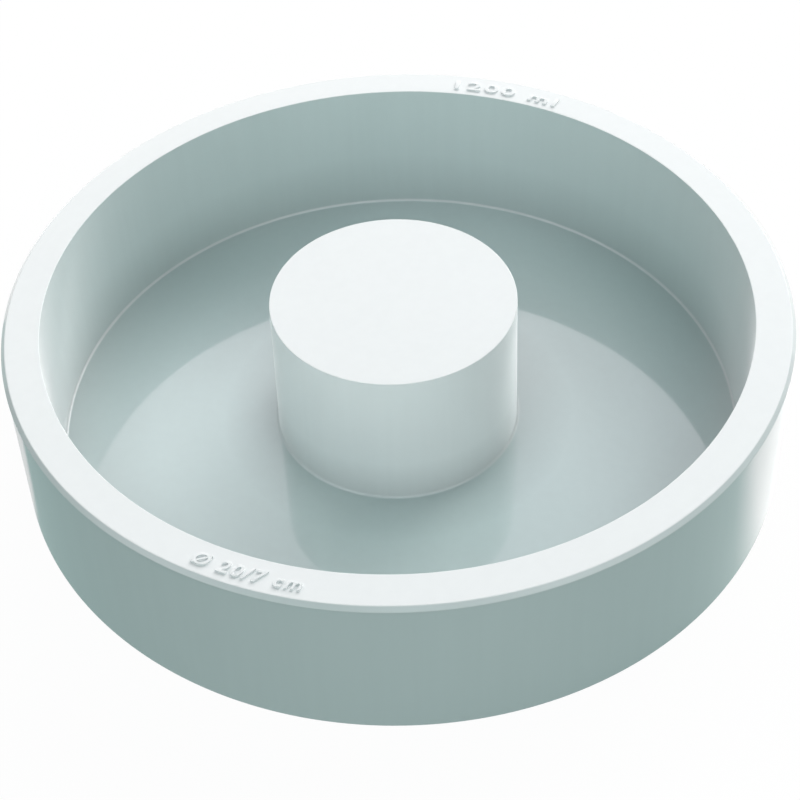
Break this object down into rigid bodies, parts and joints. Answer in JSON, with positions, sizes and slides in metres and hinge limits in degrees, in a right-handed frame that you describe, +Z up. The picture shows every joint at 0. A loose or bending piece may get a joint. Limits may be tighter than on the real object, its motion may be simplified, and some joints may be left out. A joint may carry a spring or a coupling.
{
  "type": "savarin mould",
  "caption": "Round silicone ring mould with a flat rim, a deep ring-shaped cavity and a central plug, for baking or freezing a ring cake.",
  "frame": {"origin": "centre of the flat underside, on the surface that the mould stands on", "axes": "+Z up along the axis of the ring, out of the cavity's mouth; X and Y lie in the underside, and the mould is round, so neither is special"},
  "size_m": [0.2216, 0.2216, 0.047],
  "materials": {
    "silicone": "smooth, slightly glossy white silicone"
  },
  "bodies": {
    "root": {"ring_mould": "silicone"}
  },
  "joints": []
}
